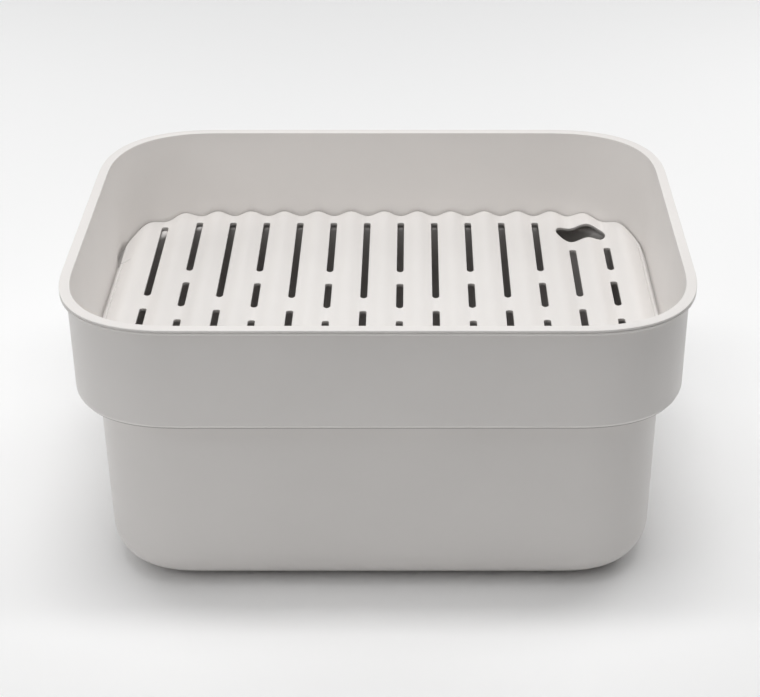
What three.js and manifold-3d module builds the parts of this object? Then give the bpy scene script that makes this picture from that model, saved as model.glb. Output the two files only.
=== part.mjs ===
// Draining basin: a moulded tub with a wide collar, a lift-out corrugated tray and four soft feet.
// Millimetres, +Z up. The origin is on the floor, under the middle of the basin.
import * as THREE from 'three';
import { ParametricGeometry } from 'three/addons/geometries/ParametricGeometry.js';
import { mergeVertices } from 'three/addons/utils/BufferGeometryUtils.js';
import Module from 'manifold-3d';

const manifold = await Module();
manifold.setup();

// Overall size of the basin, over the lip
const WIDTH = 370;
const DEPTH = 286;
const HEIGHT = 190;
const HALF_WIDTH = WIDTH / 2;
const SIDE_DIFFERENCE = (WIDTH - DEPTH) / 2;

// Corners of the basin in plan: superellipse quarters that reach this far along each side at the lip
const CORNER_REACH = 76;
const CORNER_POWER = 2.5;
const CORNER_STEPS = 10;

// Fineness of the round faces, as steps of each arc
const SECTION_ARC_STEPS = 2;
const SLOT_ARC_STEPS = 2;
const HOLE_ARC_STEPS = 6;
const FOOT_ARC_STEPS = 12;

// Basin section, as half widths and heights
const WALL = 2.4;
const LIP_HEIGHT = 3.5;
const LIP_ROUND = 0.9;
const COLLAR_TOP = 181.3;
const COLLAR_BOTTOM = 181;
const COLLAR_FOOT_INNER = 175.7;
const COLLAR_FOOT_DIFFERENCE = 40.5;
const COLLAR_DROP = 66.4;
const COLLAR_ROUND = 2.5;
const TUB_TOP = 168;
const TUB_BOTTOM = 166.5;
const TUB_ROUND = 25;

// Feet: soft pads in shallow sockets under the base
const FOOT_STAND = 1.5;
const FOOT_RADIUS = 8;
const FOOT_X = 118;
const FOOT_Y = 76;
const SOCKET_DEPTH = 1.2;
const GAP = 0.3;

// Tray: corrugated across X, dished towards the middle, with a low skirt that rests on the ledge
const TRAY_HALF_WIDTH = 174;
const TRAY_HALF_DEPTH = 133.5;
const TRAY_CORNER = 52;
const TRAY_WALL = 2.4;
const TRAY_VALLEY_DROP = 61;
const WAVE_PITCH = 23.2;
const WAVE_HEIGHT = 3.6;
const WAVE_COUNT = 15;
const WAVE_STEPS = 6;
const DISH_DEPTH = 2.5;
const DISH_STEPS = 4;
const DISH_ROOM = 5;

// Slots: one column in each valley, three slots a column, every other column turned end for end
const SLOT_WIDTH = 4.5;
const SLOT_COLUMNS = 14;
const SLOT_END = 123.2;
const SLOT_BREAKS = [15.2, -1.8, -35.2, -51.4];
const CORNER_SLOT_END = 115.6;

// Finger hole in the right rear corner, and where the slots in front of it begin
const HOLE_X = 134.7;
const HOLE_Y = 103.8;
const HOLE_WIDTH = 33.6;
const HOLE_DEPTH = 21;
const HOLE_SLOT_ENDS = new Map([[12, 81.6], [13, 84.2]]);

// Looks of the two materials
const PLASTIC = { color: 0xdedad6, roughness: 0.45, metalness: 0 };
const RUBBER = { color: 0x8f8c89, roughness: 0.8, metalness: 0 };

const LEDGE_UNDERSIDE = HEIGHT - COLLAR_DROP;
const LEDGE_TOP = LEDGE_UNDERSIDE + WALL;
const TRAY_BOTTOM = LEDGE_TOP + GAP;
const TRAY_VALLEY = HEIGHT - TRAY_VALLEY_DROP;
const CUT_HEIGHT = 40;
const CUT_MARGIN = 1;

// Points round a rectangle whose corners are superellipse quarters, counter-clockwise; power 2 is a circle
function outline(halfWidth, halfDepth, reach, power) {
  const points = [];
  for (const [signX, signY] of [[1, 1], [-1, 1], [-1, -1], [1, -1]]) {
    for (let step = 0; step <= CORNER_STEPS; step++) {
      const along = signX * signY > 0 ? step : CORNER_STEPS - step;
      const angle = (along / CORNER_STEPS) * (Math.PI / 2);
      const x = halfWidth - reach + reach * Math.cos(angle) ** (2 / power);
      const y = halfDepth - reach + reach * Math.sin(angle) ** (2 / power);
      points.push(new THREE.Vector2(signX * x, signY * y));
    }
  }
  return points;
}

// The section of the basin from the middle of its underside, over the lip, to the middle of its floor
function basinSection() {
  const lipUnderside = HEIGHT - LIP_HEIGHT;
  const lipInner = COLLAR_TOP - WALL;
  const tubCentre = TUB_BOTTOM - TUB_ROUND;
  const roundCentre = FOOT_STAND + TUB_ROUND;
  const path = new THREE.Path();
  path.moveTo(0, FOOT_STAND);
  path.lineTo(tubCentre, FOOT_STAND);
  path.absarc(tubCentre, roundCentre, TUB_ROUND, -Math.PI / 2, 0);
  path.lineTo(TUB_TOP, LEDGE_UNDERSIDE);
  path.absarc(COLLAR_BOTTOM - COLLAR_ROUND, LEDGE_UNDERSIDE + COLLAR_ROUND, COLLAR_ROUND, -Math.PI / 2, 0);
  path.lineTo(COLLAR_TOP, lipUnderside);
  path.lineTo(HALF_WIDTH, lipUnderside);
  path.absarc(HALF_WIDTH - LIP_ROUND, HEIGHT - LIP_ROUND, LIP_ROUND, 0, Math.PI / 2);
  path.absarc(lipInner + LIP_ROUND, HEIGHT - LIP_ROUND, LIP_ROUND, Math.PI / 2, Math.PI);
  path.lineTo(COLLAR_FOOT_INNER, LEDGE_TOP);
  path.lineTo(TUB_TOP - WALL, LEDGE_TOP);
  path.absarc(tubCentre, roundCentre, TUB_ROUND - WALL, 0, -Math.PI / 2, true);
  path.lineTo(0, FOOT_STAND + WALL);
  return path.getPoints(SECTION_ARC_STEPS);
}

// Carries each point of a section round the outline; a point on the axis becomes the middle of a flat face.
// The foot of the collar's inner wall is thicker along the ends of the basin, so the tray's gap is even.
function sweepRound(section) {
  const rings = section.map(({ x, y: z }) => {
    const inset = HALF_WIDTH - x;
    const difference = x === COLLAR_FOOT_INNER ? COLLAR_FOOT_DIFFERENCE : SIDE_DIFFERENCE;
    const ring = outline(x, x - difference, CORNER_REACH - inset, CORNER_POWER);
    return ring.map((point) => (x > 0 ? new THREE.Vector3(point.x, point.y, z) : new THREE.Vector3(0, 0, z)));
  });
  const sides = rings[0].length;
  const surface = (u, v, target) => {
    target.copy(rings[Math.round(v * (rings.length - 1))][Math.round(u * sides) % sides]);
  };
  return new ParametricGeometry(surface, sides, rings.length - 1);
}

// A closed three.js geometry as a solid that can be cut and joined
function solidFrom(geometry) {
  geometry.deleteAttribute('normal');
  geometry.deleteAttribute('uv');
  const merged = mergeVertices(geometry);
  const corners = Array.from(merged.index.array);
  const triangles = [];
  for (let first = 0; first < corners.length; first += 3) {
    const [a, b, c] = corners.slice(first, first + 3);
    if (a !== b && b !== c && c !== a) triangles.push(a, b, c);
  }
  const mesh = new manifold.Mesh({
    numProp: 3,
    vertProperties: merged.attributes.position.array,
    triVerts: Uint32Array.from(triangles),
  });
  return new manifold.Manifold(mesh);
}

function geometryFrom(solid) {
  const mesh = solid.getMesh();
  const geometry = new THREE.BufferGeometry();
  geometry.setAttribute('position', new THREE.BufferAttribute(mesh.vertProperties, 3));
  geometry.setIndex(new THREE.BufferAttribute(mesh.triVerts, 1));
  return geometry;
}

// An upright prism on a flat shape, from one height to another
function prism(shape, bottom, top, curveSegments = 1) {
  const options = { depth: top - bottom, bevelEnabled: false, curveSegments };
  const geometry = new THREE.ExtrudeGeometry(shape, options);
  geometry.translate(0, 0, bottom);
  return solidFrom(geometry);
}

// A slot with round ends, long way along Y
function stadium(x, y, width, length) {
  const radius = width / 2;
  const straight = length / 2 - radius;
  const shape = new THREE.Shape();
  shape.absarc(x, y + straight, radius, 0, Math.PI);
  shape.absarc(x, y - straight, radius, Math.PI, 2 * Math.PI);
  return shape;
}

// A round disc with its axis upright
function disc(x, y, radius, bottom, top) {
  const shape = new THREE.Shape();
  shape.absarc(x, y, radius, 0, 2 * Math.PI);
  return prism(shape, bottom, top, FOOT_ARC_STEPS);
}

function footPlaces() {
  return [
    ['foot_rear_right', FOOT_X, FOOT_Y],
    ['foot_rear_left', -FOOT_X, FOOT_Y],
    ['foot_front_left', -FOOT_X, -FOOT_Y],
    ['foot_front_right', FOOT_X, -FOOT_Y],
  ];
}

function basin() {
  let body = solidFrom(sweepRound(basinSection()));
  for (const [, x, y] of footPlaces()) {
    body = body.subtract(disc(x, y, FOOT_RADIUS + GAP, 0, FOOT_STAND + SOCKET_DEPTH));
  }
  return geometryFrom(body);
}

function foot(x, y) {
  return geometryFrom(disc(x, y, FOOT_RADIUS, 0, FOOT_STAND + SOCKET_DEPTH - GAP));
}

// Height of the tray's upper face
function trayHeight(x, y) {
  const wave = (WAVE_HEIGHT / 2) * (1 + Math.cos((2 * Math.PI * x) / WAVE_PITCH));
  const dish = DISH_DEPTH * (1 - (x / TRAY_HALF_WIDTH) ** 2) * (1 - (y / TRAY_HALF_DEPTH) ** 2);
  return TRAY_VALLEY + wave - dish;
}

// A block whose top is the tray's upper face, lowered by a distance
function waveBlock(lowered) {
  const width = WAVE_COUNT * WAVE_PITCH;
  const depth = 2 * TRAY_HALF_DEPTH;
  const columns = WAVE_COUNT * WAVE_STEPS;
  const geometry = new THREE.BoxGeometry(width, depth, CUT_HEIGHT, columns, DISH_STEPS, 1);
  const position = geometry.attributes.position;
  for (let index = 0; index < position.count; index++) {
    const isTop = position.getZ(index) > 0;
    const top = trayHeight(position.getX(index), position.getY(index)) - lowered;
    position.setZ(index, isTop ? top : TRAY_BOTTOM - CUT_HEIGHT);
  }
  return solidFrom(geometry);
}

// Ends of the three slots of a column, from the back of the tray to its front
function slotEnds(column) {
  const outer = column === 0 || column === SLOT_COLUMNS - 1 ? CORNER_SLOT_END : SLOT_END;
  const ends = [outer, ...SLOT_BREAKS, -outer];
  const isTurned = column % 2 === 1;
  const placed = isTurned ? ends.map((end) => -end).reverse() : ends;
  placed[0] = HOLE_SLOT_ENDS.get(column) ?? placed[0];
  return placed;
}

function traySlots() {
  const cutters = [];
  for (let column = 0; column < SLOT_COLUMNS; column++) {
    const x = (column - (SLOT_COLUMNS - 1) / 2) * WAVE_PITCH;
    const ends = slotEnds(column);
    for (let end = 0; end < ends.length; end += 2) {
      const [back, front] = ends.slice(end, end + 2);
      const shape = stadium(x, (back + front) / 2, SLOT_WIDTH, back - front);
      cutters.push(prism(shape, TRAY_BOTTOM - CUT_HEIGHT, TRAY_BOTTOM + CUT_HEIGHT, SLOT_ARC_STEPS));
    }
  }
  return cutters;
}

function fingerHole() {
  const shape = stadium(0, 0, HOLE_DEPTH, HOLE_WIDTH);
  const cutter = prism(shape, TRAY_BOTTOM - CUT_HEIGHT, TRAY_BOTTOM + CUT_HEIGHT, HOLE_ARC_STEPS);
  return cutter.rotate([0, 0, 90]).translate([HOLE_X, HOLE_Y, 0]);
}

// A prism over the tray's outline, drawn in by a distance
function trayPrism(inset, bottom, top) {
  const edge = outline(TRAY_HALF_WIDTH - inset, TRAY_HALF_DEPTH - inset, TRAY_CORNER - inset, 2);
  return prism(new THREE.Shape(edge), bottom, top);
}

function drainingTray() {
  const low = TRAY_BOTTOM - CUT_HEIGHT;
  const high = TRAY_BOTTOM + CUT_HEIGHT;
  const block = waveBlock(0).intersect(trayPrism(0, TRAY_BOTTOM - DISH_ROOM, high));
  const underSheet = waveBlock(TRAY_WALL).intersect(trayPrism(TRAY_WALL, low, high));
  const insideSkirt = trayPrism(TRAY_WALL + CUT_MARGIN, low, high);
  const underSkirt = trayPrism(-CUT_MARGIN, low, TRAY_BOTTOM).subtract(insideSkirt);
  let tray = block.subtract(underSheet).subtract(underSkirt);
  for (const cutter of [...traySlots(), fingerHole()]) tray = tray.subtract(cutter);
  return geometryFrom(tray);
}

function namedMesh(name, geometry, look) {
  const mesh = new THREE.Mesh(geometry, new THREE.MeshStandardMaterial(look));
  mesh.name = name;
  return mesh;
}

const group = new THREE.Group();
group.add(namedMesh('basin', basin(), PLASTIC));
group.add(namedMesh('draining_tray', drainingTray(), PLASTIC));
for (const [name, x, y] of footPlaces()) group.add(namedMesh(name, foot(x, y), RUBBER));

export default group;
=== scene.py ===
import math

import bmesh
import bpy
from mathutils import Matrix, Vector
from mathutils.geometry import delaunay_2d_cdt


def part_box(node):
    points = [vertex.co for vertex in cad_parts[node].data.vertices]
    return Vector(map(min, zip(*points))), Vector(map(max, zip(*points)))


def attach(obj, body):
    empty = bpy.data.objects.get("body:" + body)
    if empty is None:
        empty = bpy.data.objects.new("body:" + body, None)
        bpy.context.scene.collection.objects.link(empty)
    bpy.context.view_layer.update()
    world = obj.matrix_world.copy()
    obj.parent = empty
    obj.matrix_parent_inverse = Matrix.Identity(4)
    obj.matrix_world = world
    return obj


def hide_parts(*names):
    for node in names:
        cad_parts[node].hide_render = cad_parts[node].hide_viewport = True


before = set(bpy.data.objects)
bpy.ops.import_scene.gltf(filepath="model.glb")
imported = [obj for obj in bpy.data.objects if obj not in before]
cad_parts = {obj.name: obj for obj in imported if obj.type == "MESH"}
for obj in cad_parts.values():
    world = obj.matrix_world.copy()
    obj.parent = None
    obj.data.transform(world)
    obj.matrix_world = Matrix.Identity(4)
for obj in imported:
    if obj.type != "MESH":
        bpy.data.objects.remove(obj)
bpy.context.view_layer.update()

# The lengths of the object are in millimetres, and the scene is in metres
MM = 0.001

# Basin, from the CAD box and the design's wall and step sizes
basin_low, basin_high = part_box("basin")
HALF_WIDTH = basin_high.x / MM
HALF_DEPTH = basin_high.y / MM
HEIGHT = basin_high.z / MM
BASE = basin_low.z / MM
SIDE_DIFFERENCE = HALF_WIDTH - HALF_DEPTH
CORNER_REACH = 76
CORNER_POWER = 2.5
WALL = 2.4
LIP_HEIGHT = 3.5
COLLAR_TOP = 181.3
COLLAR_BOTTOM = 181
COLLAR_FOOT_INNER = 175.7
FOOT_SIDE_DIFFERENCE = 40.5
COLLAR_DROP = 66.4
TUB_TOP = 168
TUB_BOTTOM = 166.5
LEDGE_UNDERSIDE = HEIGHT - COLLAR_DROP
LEDGE_TOP = LEDGE_UNDERSIDE + WALL

# Roundings of the basin's section, from the base up the outside and down the inside
TUB_ROUND = 25
STEP_ROUND = 0.35
LIP_ROOT_ROUND = 0.2
LIP_UNDER_ROUND = 0.8
LIP_OUTER_ROUND = 0.45
LIP_INNER_ROUND = 0.5
COLLAR_FOOT_ROUND = 0.8
MOUTH_ROUND = 3.4

# Fine groove round the outside of the lip
LIP_GROOVE = HEIGHT - 1.6
LIP_GROOVE_HALF = 0.4
LIP_GROOVE_DEPTH = 0.6
LIP_GROOVE_ROUND = 0.1

# Lower edge of the collar: a bead that hangs under the ledge, a parting groove, and the foot of the wall.
# A corner has its distance out from COLLAR_BOTTOM, its height over LEDGE_UNDERSIDE, and its rounding.
EDGE_BEAD = [(-2.7, 0, 0.1), (-2.3, -0.5, 0.15)]
GROOVE_MOUTH = (-1.4, -0.35, 0.12)
GROOVE_ROOT = (-1.75, 0.7, 0.1)
WALL_FOOT = [(-0.75, 0.6, 0.15), (0, 2.3, 1.2)]

# Recess at the foot of the left wall: where it starts and ends along Y, the length of its ends, how far it
# goes out and down, the heights between which it fades out up the wall, and the values of foot_share
# between which it fades in
RECESS_START = 61
RECESS_END = 95
RECESS_HALF_START = 1
RECESS_END_LENGTH = 12
RECESS_OUT = 2.2
RECESS_DOWN = 1.9
RECESS_FADE_LOW = LEDGE_TOP + 2
RECESS_FADE_HIGH = LEDGE_TOP + 8
RECESS_FOOT_LOW = 0.2
RECESS_FOOT_HIGH = 0.6

# Share of the darker painted shade colour on the outer faces and on the ledge, and how far up the wall it
# fades: shade painted into the colour, a little on the outside and more on the ledge
OUTER_PAINTED_SHADE = 0.07
LEDGE_PAINTED_SHADE = 0.2
PAINTED_SHADE_FADE = 1.5

# How far out, in and up from its root the parting groove has all of the painted shade colour, a dark line of
# painted shade in the crease
GROOVE_SHADE_OUT = 0.4
GROOVE_SHADE_IN = 0.2
GROOVE_SHADE_UP = 0.1

# Underside of the base: a flat ring for the feet, round a slightly raised panel
BASE_FLAT = TUB_BOTTOM - TUB_ROUND - 1
PANEL_HALF_WIDTH = 98
PANEL_REACH = 26
PANEL_RAISE = 0.6

# Edge of the panel, as how far in and how far up
PANEL_EDGE = [(0.3, 0.1), (0.9, PANEL_RAISE - 0.1), (1.2, PANEL_RAISE)]

# Gate mark, a round dimple with a nub, as radius and height over the base
GATE_MARK = [(4, PANEL_RAISE), (3.6, PANEL_RAISE + 0.5), (1.1, PANEL_RAISE + 0.5), (0.9, PANEL_RAISE + 0.1)]

# Feet, where the CAD has them, and their sockets
FOOT_NODES = ["foot_rear_right", "foot_rear_left", "foot_front_left", "foot_front_right"]
SOCKET_GAP = 0.3
SOCKET_EDGE = 0.3
SOCKET_DEPTH = 1.2

# Tread of a foot, with a dimple and a ring groove, as radius and height; its lower edge, as in and up
FOOT_TREAD = [(2.0, 0.25), (2.4, 0), (4.2, 0), (4.5, 0.25), (4.9, 0.25), (5.2, 0)]
FOOT_EDGE = [(0.5, 0), (0.15, 0.15), (0, 0.5)]
FOOT_CHAMFER = 0.2

# Tray, from its CAD box and the design's corrugation
_, tray_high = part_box("draining_tray")
TRAY_HALF_WIDTH = tray_high.x / MM
TRAY_HALF_DEPTH = tray_high.y / MM
TRAY_CORNER = 52
TRAY_WALL = 2.4
WAVE_PITCH = 23.2
WAVE_HEIGHT = 3.6
DISH_DEPTH = 2.5
TRAY_VALLEY = tray_high.z / MM - WAVE_HEIGHT
SKIRT_GAP = 0.3
TRAY_BOTTOM = LEDGE_TOP + SKIRT_GAP
SKIRT_THICKNESS = 1.6
SKIRT_CHAMFER_IN = 0.2
SKIRT_CHAMFER_UP = 0.25
TRAY_EDGE_ROUND = 0.4

# Strips along the sides, marked off by a fine groove: its distance from the edge, width and depth, where it
# starts at the back, the length of its ends, and the width of the band at the sides that it is kept to
STRIP_GROOVE = 1.7
STRIP_GROOVE_WIDTH = 0.28
STRIP_GROOVE_DEPTH = 0.7
STRIP_START_RIGHT = 92
STRIP_START_LEFT = 60
STRIP_FADE = 4
STRIP_REACH = 6

# Small mark where the left strip begins, deepest at its start, and cut off a little past its end
NICK_START = Vector((-173.4, 61.0))
NICK_END = Vector((-169.0, 62.4))
NICK_WIDTH = 0.95
NICK_DEPTH = 2.0
NICK_TAPER = 0.6
NICK_CUT_OFF = 2

# Slots: where those of a column start and end, from the back to the front, which every second column has the
# other way round. Those in the outer columns and beside the finger hole end earlier.
SLOT_RADIUS = 2.25
SLOT_COLUMNS = 14
SLOT_END = 123.2
SLOT_BREAKS = [15.2, -1.8, -35.2, -51.4]
CORNER_SLOT_END = 115.6
HOLE_SLOT_ENDS = {12: 81.6, 13: 84.2}
HOLE_X = 134.7
HOLE_Y = 103.8
HOLE_RADIUS = 10.5
HOLE_HALF_STRAIGHT = 6.3

# Edge of an opening: steps round an end, spacing along a side, rounding, width of the border round it, and
# the distance that the plate's own vertices keep from its wall
SLOT_EDGE = {"arc_steps": 10, "spacing": 3.0, "rounding": 0.3, "border": 0.9, "clearance": 1.7}
HOLE_EDGE = {"arc_steps": 32, "spacing": 1.2, "rounding": 0.5, "border": 1.4, "clearance": 2.3}

# Fineness of the basin: least steps and spacing on an arc of the section, the longest step on a straight run
# and its first and last step, then steps round a corner and spacing along a side, and steps round a circle
ARC_STEPS = 7
ARC_SPACING = 2.5
RUN_SPACING = 8.0
RUN_SUPPORT = 0.6
CORNER_STEPS = 36
SIDE_SPACING = 3
CIRCLE_STEPS = 64

# Triangulation: its kind of output, triangles out to the convex hull, and how close two points are one
WHOLE_HULL = 0
SAME_POINT = 1e-6

# Fineness of the tray: spacing round its outline, the distance of the plate and of the rings outside it from
# the edge, steps on its roundings, and the grid of the plate, which stays clear of its border
OUTLINE_SPACING = 0.8
PLATE_OFFSET = 2.6
BORDER_OFFSETS = [PLATE_OFFSET, 2.2, 2.0, 1.85, 1.7, 1.55, 1.4, 1.2, 0.9, 0.6]
EDGE_ROUND_STEPS = 4
OPENING_ROUND_STEPS = 3
PLATE_STEP_X = WAVE_PITCH / 16
PLATE_STEP_Y = 4.0
PLATE_CLEARANCE = 1.0

# Finer grid at the nick, along X and Y: its first point from the nick's start, its spacing, and its count
NICK_GRID_FIRST = (2.6, -1.9)
NICK_GRID_STEP = (0.47, 0.53)
NICK_GRID_COUNT = (10, 14)

# Plastic: its colours and roughness
BASIN_PLASTIC = (0.813, 0.786, 0.764)
BASIN_ROUGHNESS = 0.42
TRAY_PLASTIC = (0.774, 0.750, 0.729)
TRAY_ROUGHNESS = 0.45
# Darker colour painted in as shade: in the tub, on the ledge and in the recess, in the parting groove, on
# the walls of the slots and the finger hole, in the nick, and a little on the outer faces and the lip
PAINTED_SHADE_COLOUR = (0.50, 0.48, 0.465)
PLASTIC_IOR = 1.49

# Finish of the plastic: clouds in its colour and gloss, slight flow marks and a fine grain, with the scales
# as a number of waves in a metre, and the depths in metres
CLOUD_SCALE = 14
CLOUD_CONTRAST = 0.015
GLOSS_SCALE = 45
GLOSS_CONTRAST = 0.04
FLOW_MARKS = {"scale": 30, "detail": 1.0, "strength": 0.05, "depth": 0.4 * MM}
PLASTIC_GRAIN = {"scale": 2600, "detail": 2.0, "strength": 0.12, "depth": 0.05 * MM}

# Rubber of the feet
RUBBER_DARK = (0.15, 0.145, 0.14)
RUBBER_LIGHT = (0.19, 0.185, 0.18)
RUBBER_ROUGHNESS = (0.7, 0.85)
RUBBER_CLOUD_SCALE = 120
RUBBER_GLOSS_SCALE = 300
RUBBER_GRAIN = {"scale": 1800, "detail": 2.0, "strength": 0.2, "depth": 0.08 * MM}

# Floor and surroundings, in metres
FLOOR_HALF = 15.0
FLOOR_COLOUR = (0.968, 0.968, 0.968)
FLOOR_ROUGHNESS = 0.9
WORLD_STRENGTH = 0.05

# Softboxes: name, place, point aimed at, width and depth in metres, and power in watts
SOFTBOXES = [
    ("over_opening", (0, -0.1, 0.8), (0, 0.14, 0.15), 0.6, 0.1, 1.95),
    ("left_front", (-1.0, -0.6, 0.7), (0, 0, 0.1), 0.8, 0.6, 1.99),
    ("left_back", (-0.9, 0.7, 0.7), (0, 0, 0.1), 0.8, 0.6, 2.62),
    ("right_back", (0.9, 0.7, 0.7), (0, 0, 0.1), 0.8, 0.6, 3.44),
    ("back", (0, 2.0, 1.2), (0, 0, 0.1), 2.4, 1.2, 4.91),
]

# Far soft lights overhead: name, direction they shine from, width of the disc in degrees, and strength
OVERHEAD = [
    ("overhead", (0, 0, 1), 30, 0.875),
    ("overhead_front", (0, -0.45, 1), 50, 0.5),
]

# Camera: place in metres, pitch below level in degrees, lens and sensor in millimetres, and sideways shift
CAMERA_PLACE = (0.0209, -1.0057, 0.6672)
CAMERA_PITCH = 29.51
CAMERA_LENS = 85.09
CAMERA_SENSOR = 36
CAMERA_SHIFT = -0.045


# Building closed surfaces

class Shell:
    """The vertices and faces of one closed surface, gathered ring by ring."""

    def __init__(self):
        self.points = []
        self.faces = []

    def ring(self, points):
        first = len(self.points)
        self.points.extend(points)
        return list(range(first, len(self.points)))

    def round_ring(self, x, y, radius, height):
        points = []
        for step in range(CIRCLE_STEPS):
            angle = 2 * math.pi * step / CIRCLE_STEPS
            points.append((x + radius * math.cos(angle), y + radius * math.sin(angle), height))
        return self.ring(points)

    def bridge(self, ring, other):
        for here in range(len(ring)):
            ahead = (here + 1) % len(ring)
            self.faces.append((ring[here], ring[ahead], other[ahead], other[here]))

    def bridge_all(self, rings):
        for ring, other in zip(rings, rings[1:]):
            self.bridge(ring, other)

    def cap(self, ring):
        self.faces.append(tuple(ring))

    def fill(self, loops, extra=()):
        """Triangles between the loops, the first one round the others, through the extra vertices."""
        used = [vertex for loop in loops for vertex in loop] + list(extra)
        loop_of = {vertex: number for number, loop in enumerate(loops) for vertex in loop}
        index_of = {vertex: index for index, vertex in enumerate(used)}
        edges = [(index_of[a], index_of[b]) for loop in loops for a, b in zip(loop, loop[1:] + loop[:1])]
        flat = [Vector(self.points[vertex][:2]) for vertex in used]
        _, _, faces, origins, _, _ = delaunay_2d_cdt(flat, edges, [], WHOLE_HULL, SAME_POINT, True)
        names = [used[found[0]] for found in origins]
        triangles = [tuple(names[corner] for corner in face) for face in faces]
        # A triangle with its corners on one loop is in a hole, or outside
        return [face for face in triangles if len({loop_of.get(corner, corner) for corner in face}) > 1]

    def make(self, name, material, sharp_degrees):
        mesh = bpy.data.meshes.new(name)
        mesh.from_pydata([Vector(point) * MM for point in self.points], [], self.faces)
        work = bmesh.new()
        work.from_mesh(mesh)
        bmesh.ops.recalc_face_normals(work, faces=work.faces)
        work.to_mesh(mesh)
        work.free()
        mesh.shade_smooth()
        mesh.set_sharp_from_angle(angle=math.radians(sharp_degrees))
        mesh.materials.append(material)
        piece = bpy.data.objects.new(name, mesh)
        bpy.context.scene.collection.objects.link(piece)
        return piece


def smooth_step(low, high, value):
    share = min(max((value - low) / (high - low), 0), 1)
    return share * share * (3 - 2 * share)


def arc_at(before, corner, after):
    """Points on the arc that rounds a (a, b, radius) corner of a section."""
    point, radius = Vector(corner[:2]), corner[2]
    back = (Vector(before[:2]) - point).normalized()
    ahead = (Vector(after[:2]) - point).normalized()
    half = back.angle(ahead) / 2
    reach = radius / math.tan(half)
    centre = point + (back + ahead).normalized() * (radius / math.sin(half))
    start = point + back * reach - centre
    end = point + ahead * reach - centre
    steps = max(ARC_STEPS, round(radius * (math.pi - 2 * half) / ARC_SPACING))
    return [tuple(centre + start.slerp(end, step / steps) * radius) for step in range(steps + 1)]


def rounded(corners):
    """A polyline through (a, b, radius) corners, each replaced by an arc, with long stretches divided."""
    line = [corners[0][:2]]
    for before, corner, after in zip(corners, corners[1:], corners[2:]):
        line += arc_at(before, corner, after)
    line.append(corners[-1][:2])
    divided = [line[0]]
    for here, there in zip(line, line[1:]):
        a, b = Vector(here), Vector(there)
        length = (b - a).length
        if length > RUN_SPACING:
            first, last = a.lerp(b, RUN_SUPPORT / length), b.lerp(a, RUN_SUPPORT / length)
            parts = math.ceil(length / RUN_SPACING)
            divided += [tuple(first.lerp(last, part / parts)) for part in range(parts + 1)]
        divided.append(there)
    return divided


def edge_round(radius, steps):
    """A quarter round between a wall and a face: distances from the wall and depths below the face."""
    angles = [math.pi / 2 * step / steps for step in range(steps + 1)]
    return [(radius * (1 - math.cos(angle)), radius * (1 - math.sin(angle))) for angle in angles]


# Basin

def basin_outline(half_width, half_depth, reach):
    """Points round a rectangle with superellipse corners, counter-clockwise, as many at every size."""
    points = []
    for turn, (sign_x, sign_y) in enumerate([(1, 1), (-1, 1), (-1, -1), (1, -1)]):
        for step in range(CORNER_STEPS + 1):
            along = step if turn % 2 == 0 else CORNER_STEPS - step
            angle = along / CORNER_STEPS * math.pi / 2
            x = half_width - reach + reach * max(math.cos(angle), 0) ** (2 / CORNER_POWER)
            y = half_depth - reach + reach * max(math.sin(angle), 0) ** (2 / CORNER_POWER)
            points.append((sign_x * x, sign_y * y))
    sides = [round(2 * (half - CORNER_REACH) / SIDE_SPACING) for half in (HALF_WIDTH, HALF_DEPTH)]
    divided = []
    for turn in range(4):
        corner = points[turn * (CORNER_STEPS + 1):(turn + 1) * (CORNER_STEPS + 1)]
        start = Vector(corner[-1])
        following = Vector(points[(turn + 1) * (CORNER_STEPS + 1) % len(points)])
        count = sides[turn % 2]
        divided += corner + [tuple(start.lerp(following, part / count)) for part in range(1, count)]
    return divided


def foot_share(half_width, height):
    """1 at the foot of the collar's inner wall, 0 at the lip and at the mouth of the tub."""
    up_wall = (HEIGHT - height) / (HEIGHT - LEDGE_TOP)
    over_ledge = (half_width - TUB_TOP + WALL) / (COLLAR_FOOT_INNER - TUB_TOP + WALL)
    return min(max(min(up_wall, over_ledge), 0), 1)


def recess_share(x, y, height):
    """1 in the recess at the foot of the left wall, 0 away from it."""
    if x > 0:
        return 0
    started = smooth_step(RECESS_START - RECESS_HALF_START, RECESS_START + RECESS_HALF_START, y)
    ended = smooth_step(RECESS_END - RECESS_END_LENGTH, RECESS_END, y)
    return started * (1 - ended) * (1 - smooth_step(RECESS_FADE_LOW, RECESS_FADE_HIGH, height))


def basin_ring(shell, half_width, height, inner):
    share = foot_share(half_width, height) if inner else 0
    difference = SIDE_DIFFERENCE + (FOOT_SIDE_DIFFERENCE - SIDE_DIFFERENCE) * share
    reach = CORNER_REACH - (HALF_WIDTH - half_width)
    points = []
    for x, y in basin_outline(half_width, half_width - difference, reach):
        hollow = recess_share(x, y, height) * smooth_step(RECESS_FOOT_LOW, RECESS_FOOT_HIGH, share)
        points.append((x - RECESS_OUT * hollow, y, height - RECESS_DOWN * hollow))
    return shell.ring(points)


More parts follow.
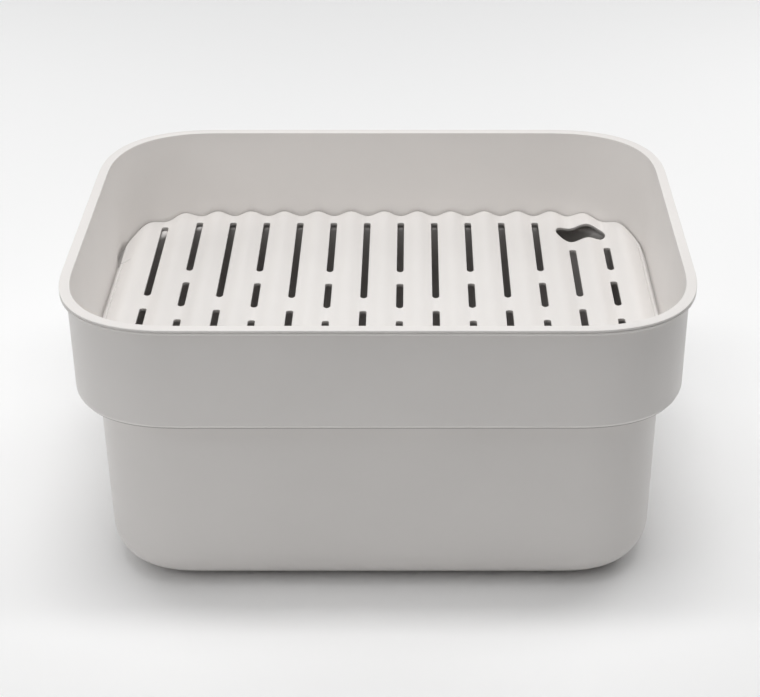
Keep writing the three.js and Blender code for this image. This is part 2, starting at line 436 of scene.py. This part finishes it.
def basin_section():
    """From the flat of the underside, over the lip, to the flat of the floor, as half width and height."""
    collar_edge = [*EDGE_BEAD, GROOVE_MOUTH, GROOVE_ROOT, *WALL_FOOT]
    return rounded([
        (BASE_FLAT, BASE, 0),
        (TUB_BOTTOM, BASE, TUB_ROUND),
        (TUB_TOP, LEDGE_UNDERSIDE, STEP_ROUND),
        *[(COLLAR_BOTTOM + out, LEDGE_UNDERSIDE + up, radius) for out, up, radius in collar_edge],
        (COLLAR_TOP, HEIGHT - LIP_HEIGHT, LIP_ROOT_ROUND),
        (HALF_WIDTH, HEIGHT - LIP_HEIGHT, LIP_UNDER_ROUND),
        (HALF_WIDTH, LIP_GROOVE - LIP_GROOVE_HALF, LIP_GROOVE_ROUND),
        (HALF_WIDTH - LIP_GROOVE_DEPTH, LIP_GROOVE, LIP_GROOVE_ROUND),
        (HALF_WIDTH, LIP_GROOVE + LIP_GROOVE_HALF, LIP_GROOVE_ROUND),
        (HALF_WIDTH, HEIGHT, LIP_OUTER_ROUND),
        (COLLAR_TOP - WALL, HEIGHT, LIP_INNER_ROUND),
        (COLLAR_FOOT_INNER, LEDGE_TOP, COLLAR_FOOT_ROUND),
        (TUB_TOP - WALL, LEDGE_TOP, MOUTH_ROUND),
        (TUB_BOTTOM - WALL, BASE + WALL, TUB_ROUND - WALL),
        (BASE_FLAT, BASE + WALL, 0),
    ])


def foot_place(node):
    """Centre, radius, bottom and top of a foot, from its CAD box."""
    low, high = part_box(node)
    x, y = (low.x + high.x) / 2 / MM, (low.y + high.y) / 2 / MM
    return x, y, (high.x - low.x) / 2 / MM, low.z / MM, high.z / MM


def add_sockets(shell):
    """Makes the sockets of the feet, and gives the loop round the mouth of each."""
    mouths = []
    for node in FOOT_NODES:
        x, y, foot_radius, _, _ = foot_place(node)
        radius = foot_radius + SOCKET_GAP
        levels = [(radius + SOCKET_EDGE, BASE), (radius, BASE + SOCKET_EDGE), (radius, BASE + SOCKET_DEPTH)]
        rings = [shell.round_ring(x, y, *level) for level in levels]
        shell.bridge_all(rings)
        shell.cap(rings[-1])
        mouths.append(rings[0])
    return mouths


def panel_ring(shell, inset, height):
    half_width = PANEL_HALF_WIDTH - inset
    outline = basin_outline(half_width, half_width - SIDE_DIFFERENCE, PANEL_REACH - inset)
    return shell.ring([(x, y, height) for x, y in outline])


def add_panel(shell, border):
    """Makes the raised panel inside its border, with the gate mark in its middle."""
    rings = [border]
    for inset, up in PANEL_EDGE:
        rings.append(panel_ring(shell, inset, BASE + up))
    for radius, up in GATE_MARK:
        points = []
        for vertex in border:
            x, y, _ = shell.points[vertex]
            length = math.hypot(x, y)
            points.append((radius * x / length, radius * y / length, BASE + up))
        rings.append(shell.ring(points))
    shell.bridge_all(rings)
    shell.cap(rings[-1])


def paint_outer_shade(painted_shade, section, rings):
    """Paints a little shade into the outside's colour, and full painted shade into the root of the parting
    groove.
    """
    _, mouth_up, _ = GROOVE_MOUTH
    root_out, root_up, _ = GROOVE_ROOT
    root = COLLAR_BOTTOM + root_out
    for (half_width, height), ring in zip(section, rings):
        level = mouth_up < height - LEDGE_UNDERSIDE < root_up + GROOVE_SHADE_UP
        in_groove = level and root - GROOVE_SHADE_IN < half_width < root + GROOVE_SHADE_OUT
        for vertex in ring:
            painted_shade.data[vertex].value = 1 if in_groove else OUTER_PAINTED_SHADE


def paint_inner_shade(piece, painted_shade, section, rings):
    """Paints full shade into the tub's colour, a share onto the ledge and the lip, up to all of it in the
    recess, and none onto the collar's wall.
    """
    for (_, height), ring in zip(section, rings):
        in_tub = 1 - smooth_step(LEDGE_TOP - MOUTH_ROUND, LEDGE_TOP, height)
        down_wall = 1 - smooth_step(LEDGE_TOP, LEDGE_TOP + PAINTED_SHADE_FADE, height)
        on_lip = OUTER_PAINTED_SHADE * smooth_step(HEIGHT - LIP_HEIGHT, HEIGHT, height)
        for vertex in ring:
            x, y, _ = piece.data.vertices[vertex].co / MM
            on_ledge = max(LEDGE_PAINTED_SHADE, recess_share(x, y, height))
            painted_shade.data[vertex].value = max(in_tub, down_wall * on_ledge, on_lip)


def make_basin(material):
    shell = Shell()
    section = basin_section()
    lip = max(range(len(section)), key=lambda index: section[index][1])
    rings = [basin_ring(shell, *level, index > lip) for index, level in enumerate(section)]
    shell.bridge_all(rings)
    shell.cap(rings[-1])
    panel_border = panel_ring(shell, 0, BASE)
    shell.faces += shell.fill([rings[0], panel_border, *add_sockets(shell)])
    add_panel(shell, panel_border)
    piece = shell.make("basin_shell", material, sharp_degrees=50)
    # Per-vertex share of painted shade, which darkens the colour where shade falls
    painted_shade = piece.data.attributes.new("painted_shade", "FLOAT", "POINT")
    paint_outer_shade(painted_shade, section[:lip], rings[:lip])
    paint_inner_shade(piece, painted_shade, section[lip:], rings[lip:])
    return piece


# Tray

def nick(x, y):
    """Depth of the small mark where the left strip begins."""
    if x > NICK_END.x + NICK_CUT_OFF:
        return 0
    along = NICK_END - NICK_START
    share = min(max((Vector((x, y)) - NICK_START).dot(along) / along.length_squared, 0), 1)
    distance = (Vector((x, y)) - NICK_START.lerp(NICK_END, share)).length
    return NICK_DEPTH * (1 - NICK_TAPER * share) * math.exp(-(distance / NICK_WIDTH) ** 2)


def strip_groove(x, y, offset):
    """Depth of the groove beside a side strip; the front ends mirror the back ones through the middle."""
    if abs(x) < TRAY_HALF_WIDTH - STRIP_REACH:
        return 0
    back = STRIP_START_RIGHT if x > 0 else STRIP_START_LEFT
    front = -STRIP_START_LEFT if x > 0 else -STRIP_START_RIGHT
    share = smooth_step(front, front + STRIP_FADE, y) * (1 - smooth_step(back - STRIP_FADE, back, y))
    return STRIP_GROOVE_DEPTH * math.exp(-((offset - STRIP_GROOVE) / STRIP_GROOVE_WIDTH) ** 2) * share


def tray_height(x, y):
    """Height of the tray's upper face: waves across X, sunk a little towards the middle."""
    wave = WAVE_HEIGHT / 2 * (1 + math.cos(2 * math.pi * x / WAVE_PITCH))
    dish = DISH_DEPTH * max(1 - (x / TRAY_HALF_WIDTH) ** 2, 0) * max(1 - (y / TRAY_HALF_DEPTH) ** 2, 0)
    return TRAY_VALLEY + wave - dish - nick(x, y)


def tray_outline():
    """Evenly spaced points and outward normals round the tray, counter-clockwise."""
    half_x, half_y = TRAY_HALF_WIDTH - TRAY_CORNER, TRAY_HALF_DEPTH - TRAY_CORNER
    centres = [(half_x, half_y), (-half_x, half_y), (-half_x, -half_y), (half_x, -half_y)]
    arc = TRAY_CORNER * math.pi / 2
    places = []
    for index, length in enumerate([2 * half_y, arc, 2 * half_x, arc] * 2):
        side = index // 2
        count = round(length / OUTLINE_SPACING)
        for step in range(count):
            share = step / count
            straight = index % 2 == 0
            angle = (side if straight else side + share) * math.pi / 2
            normal = (math.cos(angle), math.sin(angle))
            if straight:
                reach = (TRAY_HALF_WIDTH, TRAY_HALF_DEPTH)[side % 2]
                across = (half_y, half_x)[side % 2] * (2 * share - 1)
                point = (normal[0] * reach - normal[1] * across, normal[1] * reach + normal[0] * across)
            else:
                centre = centres[side]
                point = (centre[0] + TRAY_CORNER * normal[0], centre[1] + TRAY_CORNER * normal[1])
            places.append((point, normal))
    return places


def edge_ring(shell, places, offset, drop=0.0, level=None):
    """A ring that far inside the outline, at a level, or that far below the tray's grooved upper face."""
    points = []
    for (x, y), (nx, ny) in places:
        px, py = x - nx * offset, y - ny * offset
        height = tray_height(px, py) - drop - strip_groove(px, py, offset) if level is None else level
        points.append((px, py, height))
    return shell.ring(points)


def add_tray_edge(shell):
    """Rings from the border of the plate, over the edge and down the skirt, to the plate's underside."""
    places = tray_outline()
    rings = [edge_ring(shell, places, offset) for offset in BORDER_OFFSETS]
    for offset, drop in reversed(edge_round(TRAY_EDGE_ROUND, EDGE_ROUND_STEPS)):
        rings.append(edge_ring(shell, places, offset, drop))
    rings.append(edge_ring(shell, places, 0, level=TRAY_BOTTOM + SKIRT_CHAMFER_UP))
    rings.append(edge_ring(shell, places, SKIRT_CHAMFER_IN, level=TRAY_BOTTOM))
    rings.append(edge_ring(shell, places, SKIRT_THICKNESS, level=TRAY_BOTTOM))
    rings.append(edge_ring(shell, places, PLATE_OFFSET, drop=TRAY_WALL))
    shell.bridge_all(rings)
    return rings


class Opening:
    """A hole through the plate with round ends and straight sides along Y, or along X."""

    def __init__(self, x, y, radius, half_straight, along_x, edge):
        self.x = x
        self.y = y
        self.radius = radius
        self.half_straight = half_straight
        self.along_x = along_x
        self.arc_steps = edge["arc_steps"]
        self.side_steps = max(round(2 * half_straight / edge["spacing"]), 1)
        self.rounding = edge["rounding"]
        self.border = edge["border"]
        self.clearance = edge["clearance"]

    def outline(self, offset):
        """Points round it, counter-clockwise, that far outside its wall."""
        radius = self.radius + offset
        points = []
        for end, start in ((1, 0.0), (-1, math.pi)):
            for step in range(self.arc_steps + 1):
                angle = start + math.pi * step / self.arc_steps
                along = end * self.half_straight + radius * math.sin(angle)
                points.append((radius * math.cos(angle), along))
            last = Vector(points[-1])
            following = Vector((last.x, -last.y))
            for step in range(1, self.side_steps):
                points.append(tuple(last.lerp(following, step / self.side_steps)))
        if self.along_x:
            points = [(-b, a) for a, b in points]
        return [(self.x + a, self.y + b) for a, b in points]

    def clears(self, x, y):
        """Whether a vertex of the plate can be there."""
        across, along = abs(x - self.x), abs(y - self.y)
        if self.along_x:
            across, along = along, across
        return math.hypot(across, max(along - self.half_straight, 0)) >= self.radius + self.clearance

    def add_rings(self, shell):
        """Makes its rings, from the border in the upper face, through the plate, to the border below."""
        rounding = edge_round(self.rounding, OPENING_ROUND_STEPS)
        levels = [(self.border, 0.0)] + rounding[::-1]
        levels += [(offset, TRAY_WALL - drop) for offset, drop in rounding] + [(self.border, TRAY_WALL)]
        rings = []
        for offset, drop in levels:
            rings.append(shell.ring([(x, y, tray_height(x, y) - drop) for x, y in self.outline(offset)]))
        shell.bridge_all(rings)
        return rings


def tray_openings():
    """The slots, with every second column turned end for end, and the finger hole."""
    openings = []
    for column in range(SLOT_COLUMNS):
        x = (column - (SLOT_COLUMNS - 1) / 2) * WAVE_PITCH
        outer = CORNER_SLOT_END if column in (0, SLOT_COLUMNS - 1) else SLOT_END
        ends = [outer, *SLOT_BREAKS, -outer]
        if column % 2 == 1:
            ends = [-end for end in reversed(ends)]
        ends[0] = HOLE_SLOT_ENDS.get(column, ends[0])
        for back, front in zip(ends[::2], ends[1::2]):
            half_straight = (back - front) / 2 - SLOT_RADIUS
            openings.append(Opening(x, (back + front) / 2, SLOT_RADIUS, half_straight, False, SLOT_EDGE))
    openings.append(Opening(HOLE_X, HOLE_Y, HOLE_RADIUS, HOLE_HALF_STRAIGHT, True, HOLE_EDGE))
    return openings


def plate_points(openings):
    """A grid clear of the border and the openings, and a finer one at the nick."""
    half_x, half_y = TRAY_HALF_WIDTH - TRAY_CORNER, TRAY_HALF_DEPTH - TRAY_CORNER
    columns = round(TRAY_HALF_WIDTH / PLATE_STEP_X)
    rows = round(TRAY_HALF_DEPTH / PLATE_STEP_Y)
    furthest = TRAY_CORNER - PLATE_OFFSET - PLATE_CLEARANCE
    points = []
    for column in range(-columns, columns + 1):
        for row in range(-rows, rows + 1):
            x, y = column * PLATE_STEP_X, row * PLATE_STEP_Y
            outwards = math.hypot(max(abs(x) - half_x, 0), max(abs(y) - half_y, 0))
            if outwards <= furthest and all(opening.clears(x, y) for opening in openings):
                points.append((x, y))
    for column in range(NICK_GRID_COUNT[0]):
        for row in range(NICK_GRID_COUNT[1]):
            x = NICK_START.x + NICK_GRID_FIRST[0] + NICK_GRID_STEP[0] * column
            y = NICK_START.y + NICK_GRID_FIRST[1] + NICK_GRID_STEP[1] * row
            points.append((x, y))
    return points


def make_tray(material):
    shell = Shell()
    edge = add_tray_edge(shell)
    openings = tray_openings()
    rings_of = [opening.add_rings(shell) for opening in openings]

    # The plate joins the borders above, and the same faces turned over join them below
    grid = plate_points(openings)
    upper = shell.ring([(x, y, tray_height(x, y)) for x, y in grid])
    lower = shell.ring([(x, y, tray_height(x, y) - TRAY_WALL) for x, y in grid])
    below = dict(zip(upper, lower))
    for rings in [edge, *rings_of]:
        below |= dict(zip(rings[0], rings[-1]))
    top_faces = shell.fill([rings[0] for rings in [edge, *rings_of]], upper)
    shell.faces += top_faces + [tuple(below[vertex] for vertex in reversed(face)) for face in top_faces]
    piece = shell.make("tray_sheet", material, sharp_degrees=60)

    # The walls of the openings get all of the painted shade colour, and the nick gets painted shade as much
    # as it is deep
    painted_shade = piece.data.attributes.new("painted_shade", "FLOAT", "POINT")
    for index, (x, y, _) in enumerate(shell.points):
        painted_shade.data[index].value = nick(x, y) / NICK_DEPTH
    for rings in rings_of:
        for ring in rings[OPENING_ROUND_STEPS + 1:-1]:
            for vertex in ring:
                painted_shade.data[vertex].value = 1
    return piece


# Feet

def make_foot(node, material):
    x, y, radius, bottom, top = foot_place(node)
    section = [(out, bottom + up) for out, up in FOOT_TREAD]
    section += [(radius - inwards, bottom + up) for inwards, up in FOOT_EDGE]
    section += [(radius, top - FOOT_CHAMFER), (radius - FOOT_CHAMFER, top)]
    shell = Shell()
    rings = [shell.round_ring(x, y, *level) for level in section]
    shell.bridge_all(rings)
    shell.cap(rings[0])
    shell.cap(rings[-1])
    return shell.make(node + "_pad", material, sharp_degrees=35)


# Materials

def add_node(tree, kind, **values):
    made = tree.nodes.new(kind)
    for name, value in values.items():
        made.inputs[name.replace("_", " ")].default_value = value
    return made


def noise(tree, coordinates, scale, detail=3.0):
    made = add_node(tree, "ShaderNodeTexNoise", Scale=scale, Detail=detail)
    tree.links.new(coordinates, made.inputs["Vector"])
    return made.outputs["Fac"]


def spread(tree, value, low, high):
    """Maps a noise value, mostly 0.3 to 0.7, to a range."""
    made = add_node(tree, "ShaderNodeMapRange", From_Min=0.3, From_Max=0.7, To_Min=low, To_Max=high)
    tree.links.new(value, made.inputs["Value"])
    return made.outputs["Result"]


def shader_of(material):
    material.use_nodes = True
    tree = material.node_tree
    coordinates = tree.nodes.new("ShaderNodeTexCoord").outputs["Object"]
    return tree, tree.nodes["Principled BSDF"], coordinates


def mix_colours(tree, share, first, second):
    """Mixes two colours, of which the first may also be a node's output."""
    mixed = tree.nodes.new("ShaderNodeMix")
    mixed.data_type = "RGBA"
    if isinstance(first, bpy.types.NodeSocket):
        tree.links.new(first, mixed.inputs["A"])
    else:
        mixed.inputs["A"].default_value = (*first, 1)
    mixed.inputs["B"].default_value = (*second, 1)
    tree.links.new(share, mixed.inputs["Factor"])
    return mixed.outputs["Result"]


def add_bump(tree, shader, coordinates, scale, detail, strength, depth, below=None):
    """Raises the surface by a noise, over that of another bump."""
    made = add_node(tree, "ShaderNodeBump", Strength=strength, Distance=depth)
    tree.links.new(noise(tree, coordinates, scale, detail), made.inputs["Height"])
    if below is not None:
        tree.links.new(below.outputs["Normal"], made.inputs["Normal"])
    tree.links.new(made.outputs["Normal"], shader.inputs["Normal"])
    return made


def moulded_plastic(name, colour, roughness):
    """Satin polypropylene with slight clouds, flow marks and grain, and shade painted in darker by a
    per-vertex share.
    """
    material = bpy.data.materials.new(name)
    tree, shader, coordinates = shader_of(material)
    cloud = spread(tree, noise(tree, coordinates, CLOUD_SCALE), 0, 1)
    darker = [channel * (1 - CLOUD_CONTRAST) for channel in colour]
    lighter = [channel * (1 + CLOUD_CONTRAST) for channel in colour]
    outside = mix_colours(tree, cloud, darker, lighter)
    # Painted shade: the mesh's per-vertex share mixes the colour towards the darker painted shade colour
    painted_shade = add_node(tree, "ShaderNodeAttribute")
    painted_shade.attribute_name = "painted_shade"
    whole = mix_colours(tree, painted_shade.outputs["Fac"], outside, PAINTED_SHADE_COLOUR)
    tree.links.new(whole, shader.inputs["Base Color"])
    gloss = noise(tree, coordinates, GLOSS_SCALE)
    gloss = spread(tree, gloss, roughness - GLOSS_CONTRAST, roughness + GLOSS_CONTRAST)
    tree.links.new(gloss, shader.inputs["Roughness"])
    flow = add_bump(tree, shader, coordinates, **FLOW_MARKS)
    add_bump(tree, shader, coordinates, **PLASTIC_GRAIN, below=flow)
    shader.inputs["IOR"].default_value = PLASTIC_IOR
    return material


def soft_rubber():
    material = bpy.data.materials.new("foot_rubber")
    tree, shader, coordinates = shader_of(material)
    cloud = spread(tree, noise(tree, coordinates, RUBBER_CLOUD_SCALE), 0, 1)
    tree.links.new(mix_colours(tree, cloud, RUBBER_DARK, RUBBER_LIGHT), shader.inputs["Base Color"])
    gloss = spread(tree, noise(tree, coordinates, RUBBER_GLOSS_SCALE), *RUBBER_ROUGHNESS)
    tree.links.new(gloss, shader.inputs["Roughness"])
    add_bump(tree, shader, coordinates, **RUBBER_GRAIN)
    return material


# Stage: pale floor, soft light and the camera

def make_floor():
    mesh = bpy.data.meshes.new("floor")
    corners = [(sx * FLOOR_HALF, sy * FLOOR_HALF, 0) for sx, sy in ((-1, -1), (1, -1), (1, 1), (-1, 1))]
    mesh.from_pydata(corners, [], [(0, 1, 2, 3)])
    material = bpy.data.materials.new("floor_white")
    _, shader, _ = shader_of(material)
    shader.inputs["Base Color"].default_value = (*FLOOR_COLOUR, 1)
    shader.inputs["Roughness"].default_value = FLOOR_ROUGHNESS
    mesh.materials.append(material)
    floor = bpy.data.objects.new("floor", mesh)
    bpy.context.scene.collection.objects.link(floor)


def make_lamp(name, kind, strength, toward):
    light = bpy.data.lights.new(name, kind)
    light.energy = strength
    lamp = bpy.data.objects.new(name, light)
    lamp.rotation_euler = Vector(toward).to_track_quat("Z", "Y").to_euler()
    lamp.visible_camera = False
    bpy.context.scene.collection.objects.link(lamp)
    return lamp


def make_softbox(name, spot, aim, width, depth, power):
    lamp = make_lamp(name, "AREA", power, Vector(spot) - Vector(aim))
    lamp.location = spot
    lamp.data.shape = "RECTANGLE"
    lamp.data.size = width
    lamp.data.size_y = depth


def make_overhead(name, toward, disc_degrees, strength):
    lamp = make_lamp(name, "SUN", strength, toward)
    lamp.data.angle = math.radians(disc_degrees)


def make_light():
    world = bpy.data.worlds.new("studio")
    world.use_nodes = True
    background = world.node_tree.nodes["Background"]
    background.inputs["Color"].default_value = (1, 1, 1, 1)
    background.inputs["Strength"].default_value = WORLD_STRENGTH
    bpy.context.scene.world = world
    for softbox in SOFTBOXES:
        make_softbox(*softbox)
    for overhead in OVERHEAD:
        make_overhead(*overhead)
    bpy.context.scene.view_settings.view_transform = "Standard"


def make_camera():
    data = bpy.data.cameras.new("camera")
    data.sensor_width = CAMERA_SENSOR
    data.lens = CAMERA_LENS
    data.shift_x = CAMERA_SHIFT
    camera = bpy.data.objects.new("camera", data)
    camera.location = CAMERA_PLACE
    camera.rotation_euler = (math.radians(90 - CAMERA_PITCH), 0, 0)
    bpy.context.scene.collection.objects.link(camera)
    bpy.context.scene.camera = camera


# Assembly

def install(piece, body, node):
    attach(piece, body)
    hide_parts(node)


basin_plastic = moulded_plastic("basin_plastic", BASIN_PLASTIC, BASIN_ROUGHNESS)
tray_plastic = moulded_plastic("tray_plastic", TRAY_PLASTIC, TRAY_ROUGHNESS)
rubber = soft_rubber()

install(make_basin(basin_plastic), "basin", "basin")
install(make_tray(tray_plastic), "tray", "draining_tray")
for foot_node in FOOT_NODES:
    install(make_foot(foot_node, rubber), "basin", foot_node)

make_floor()
make_light()
make_camera()
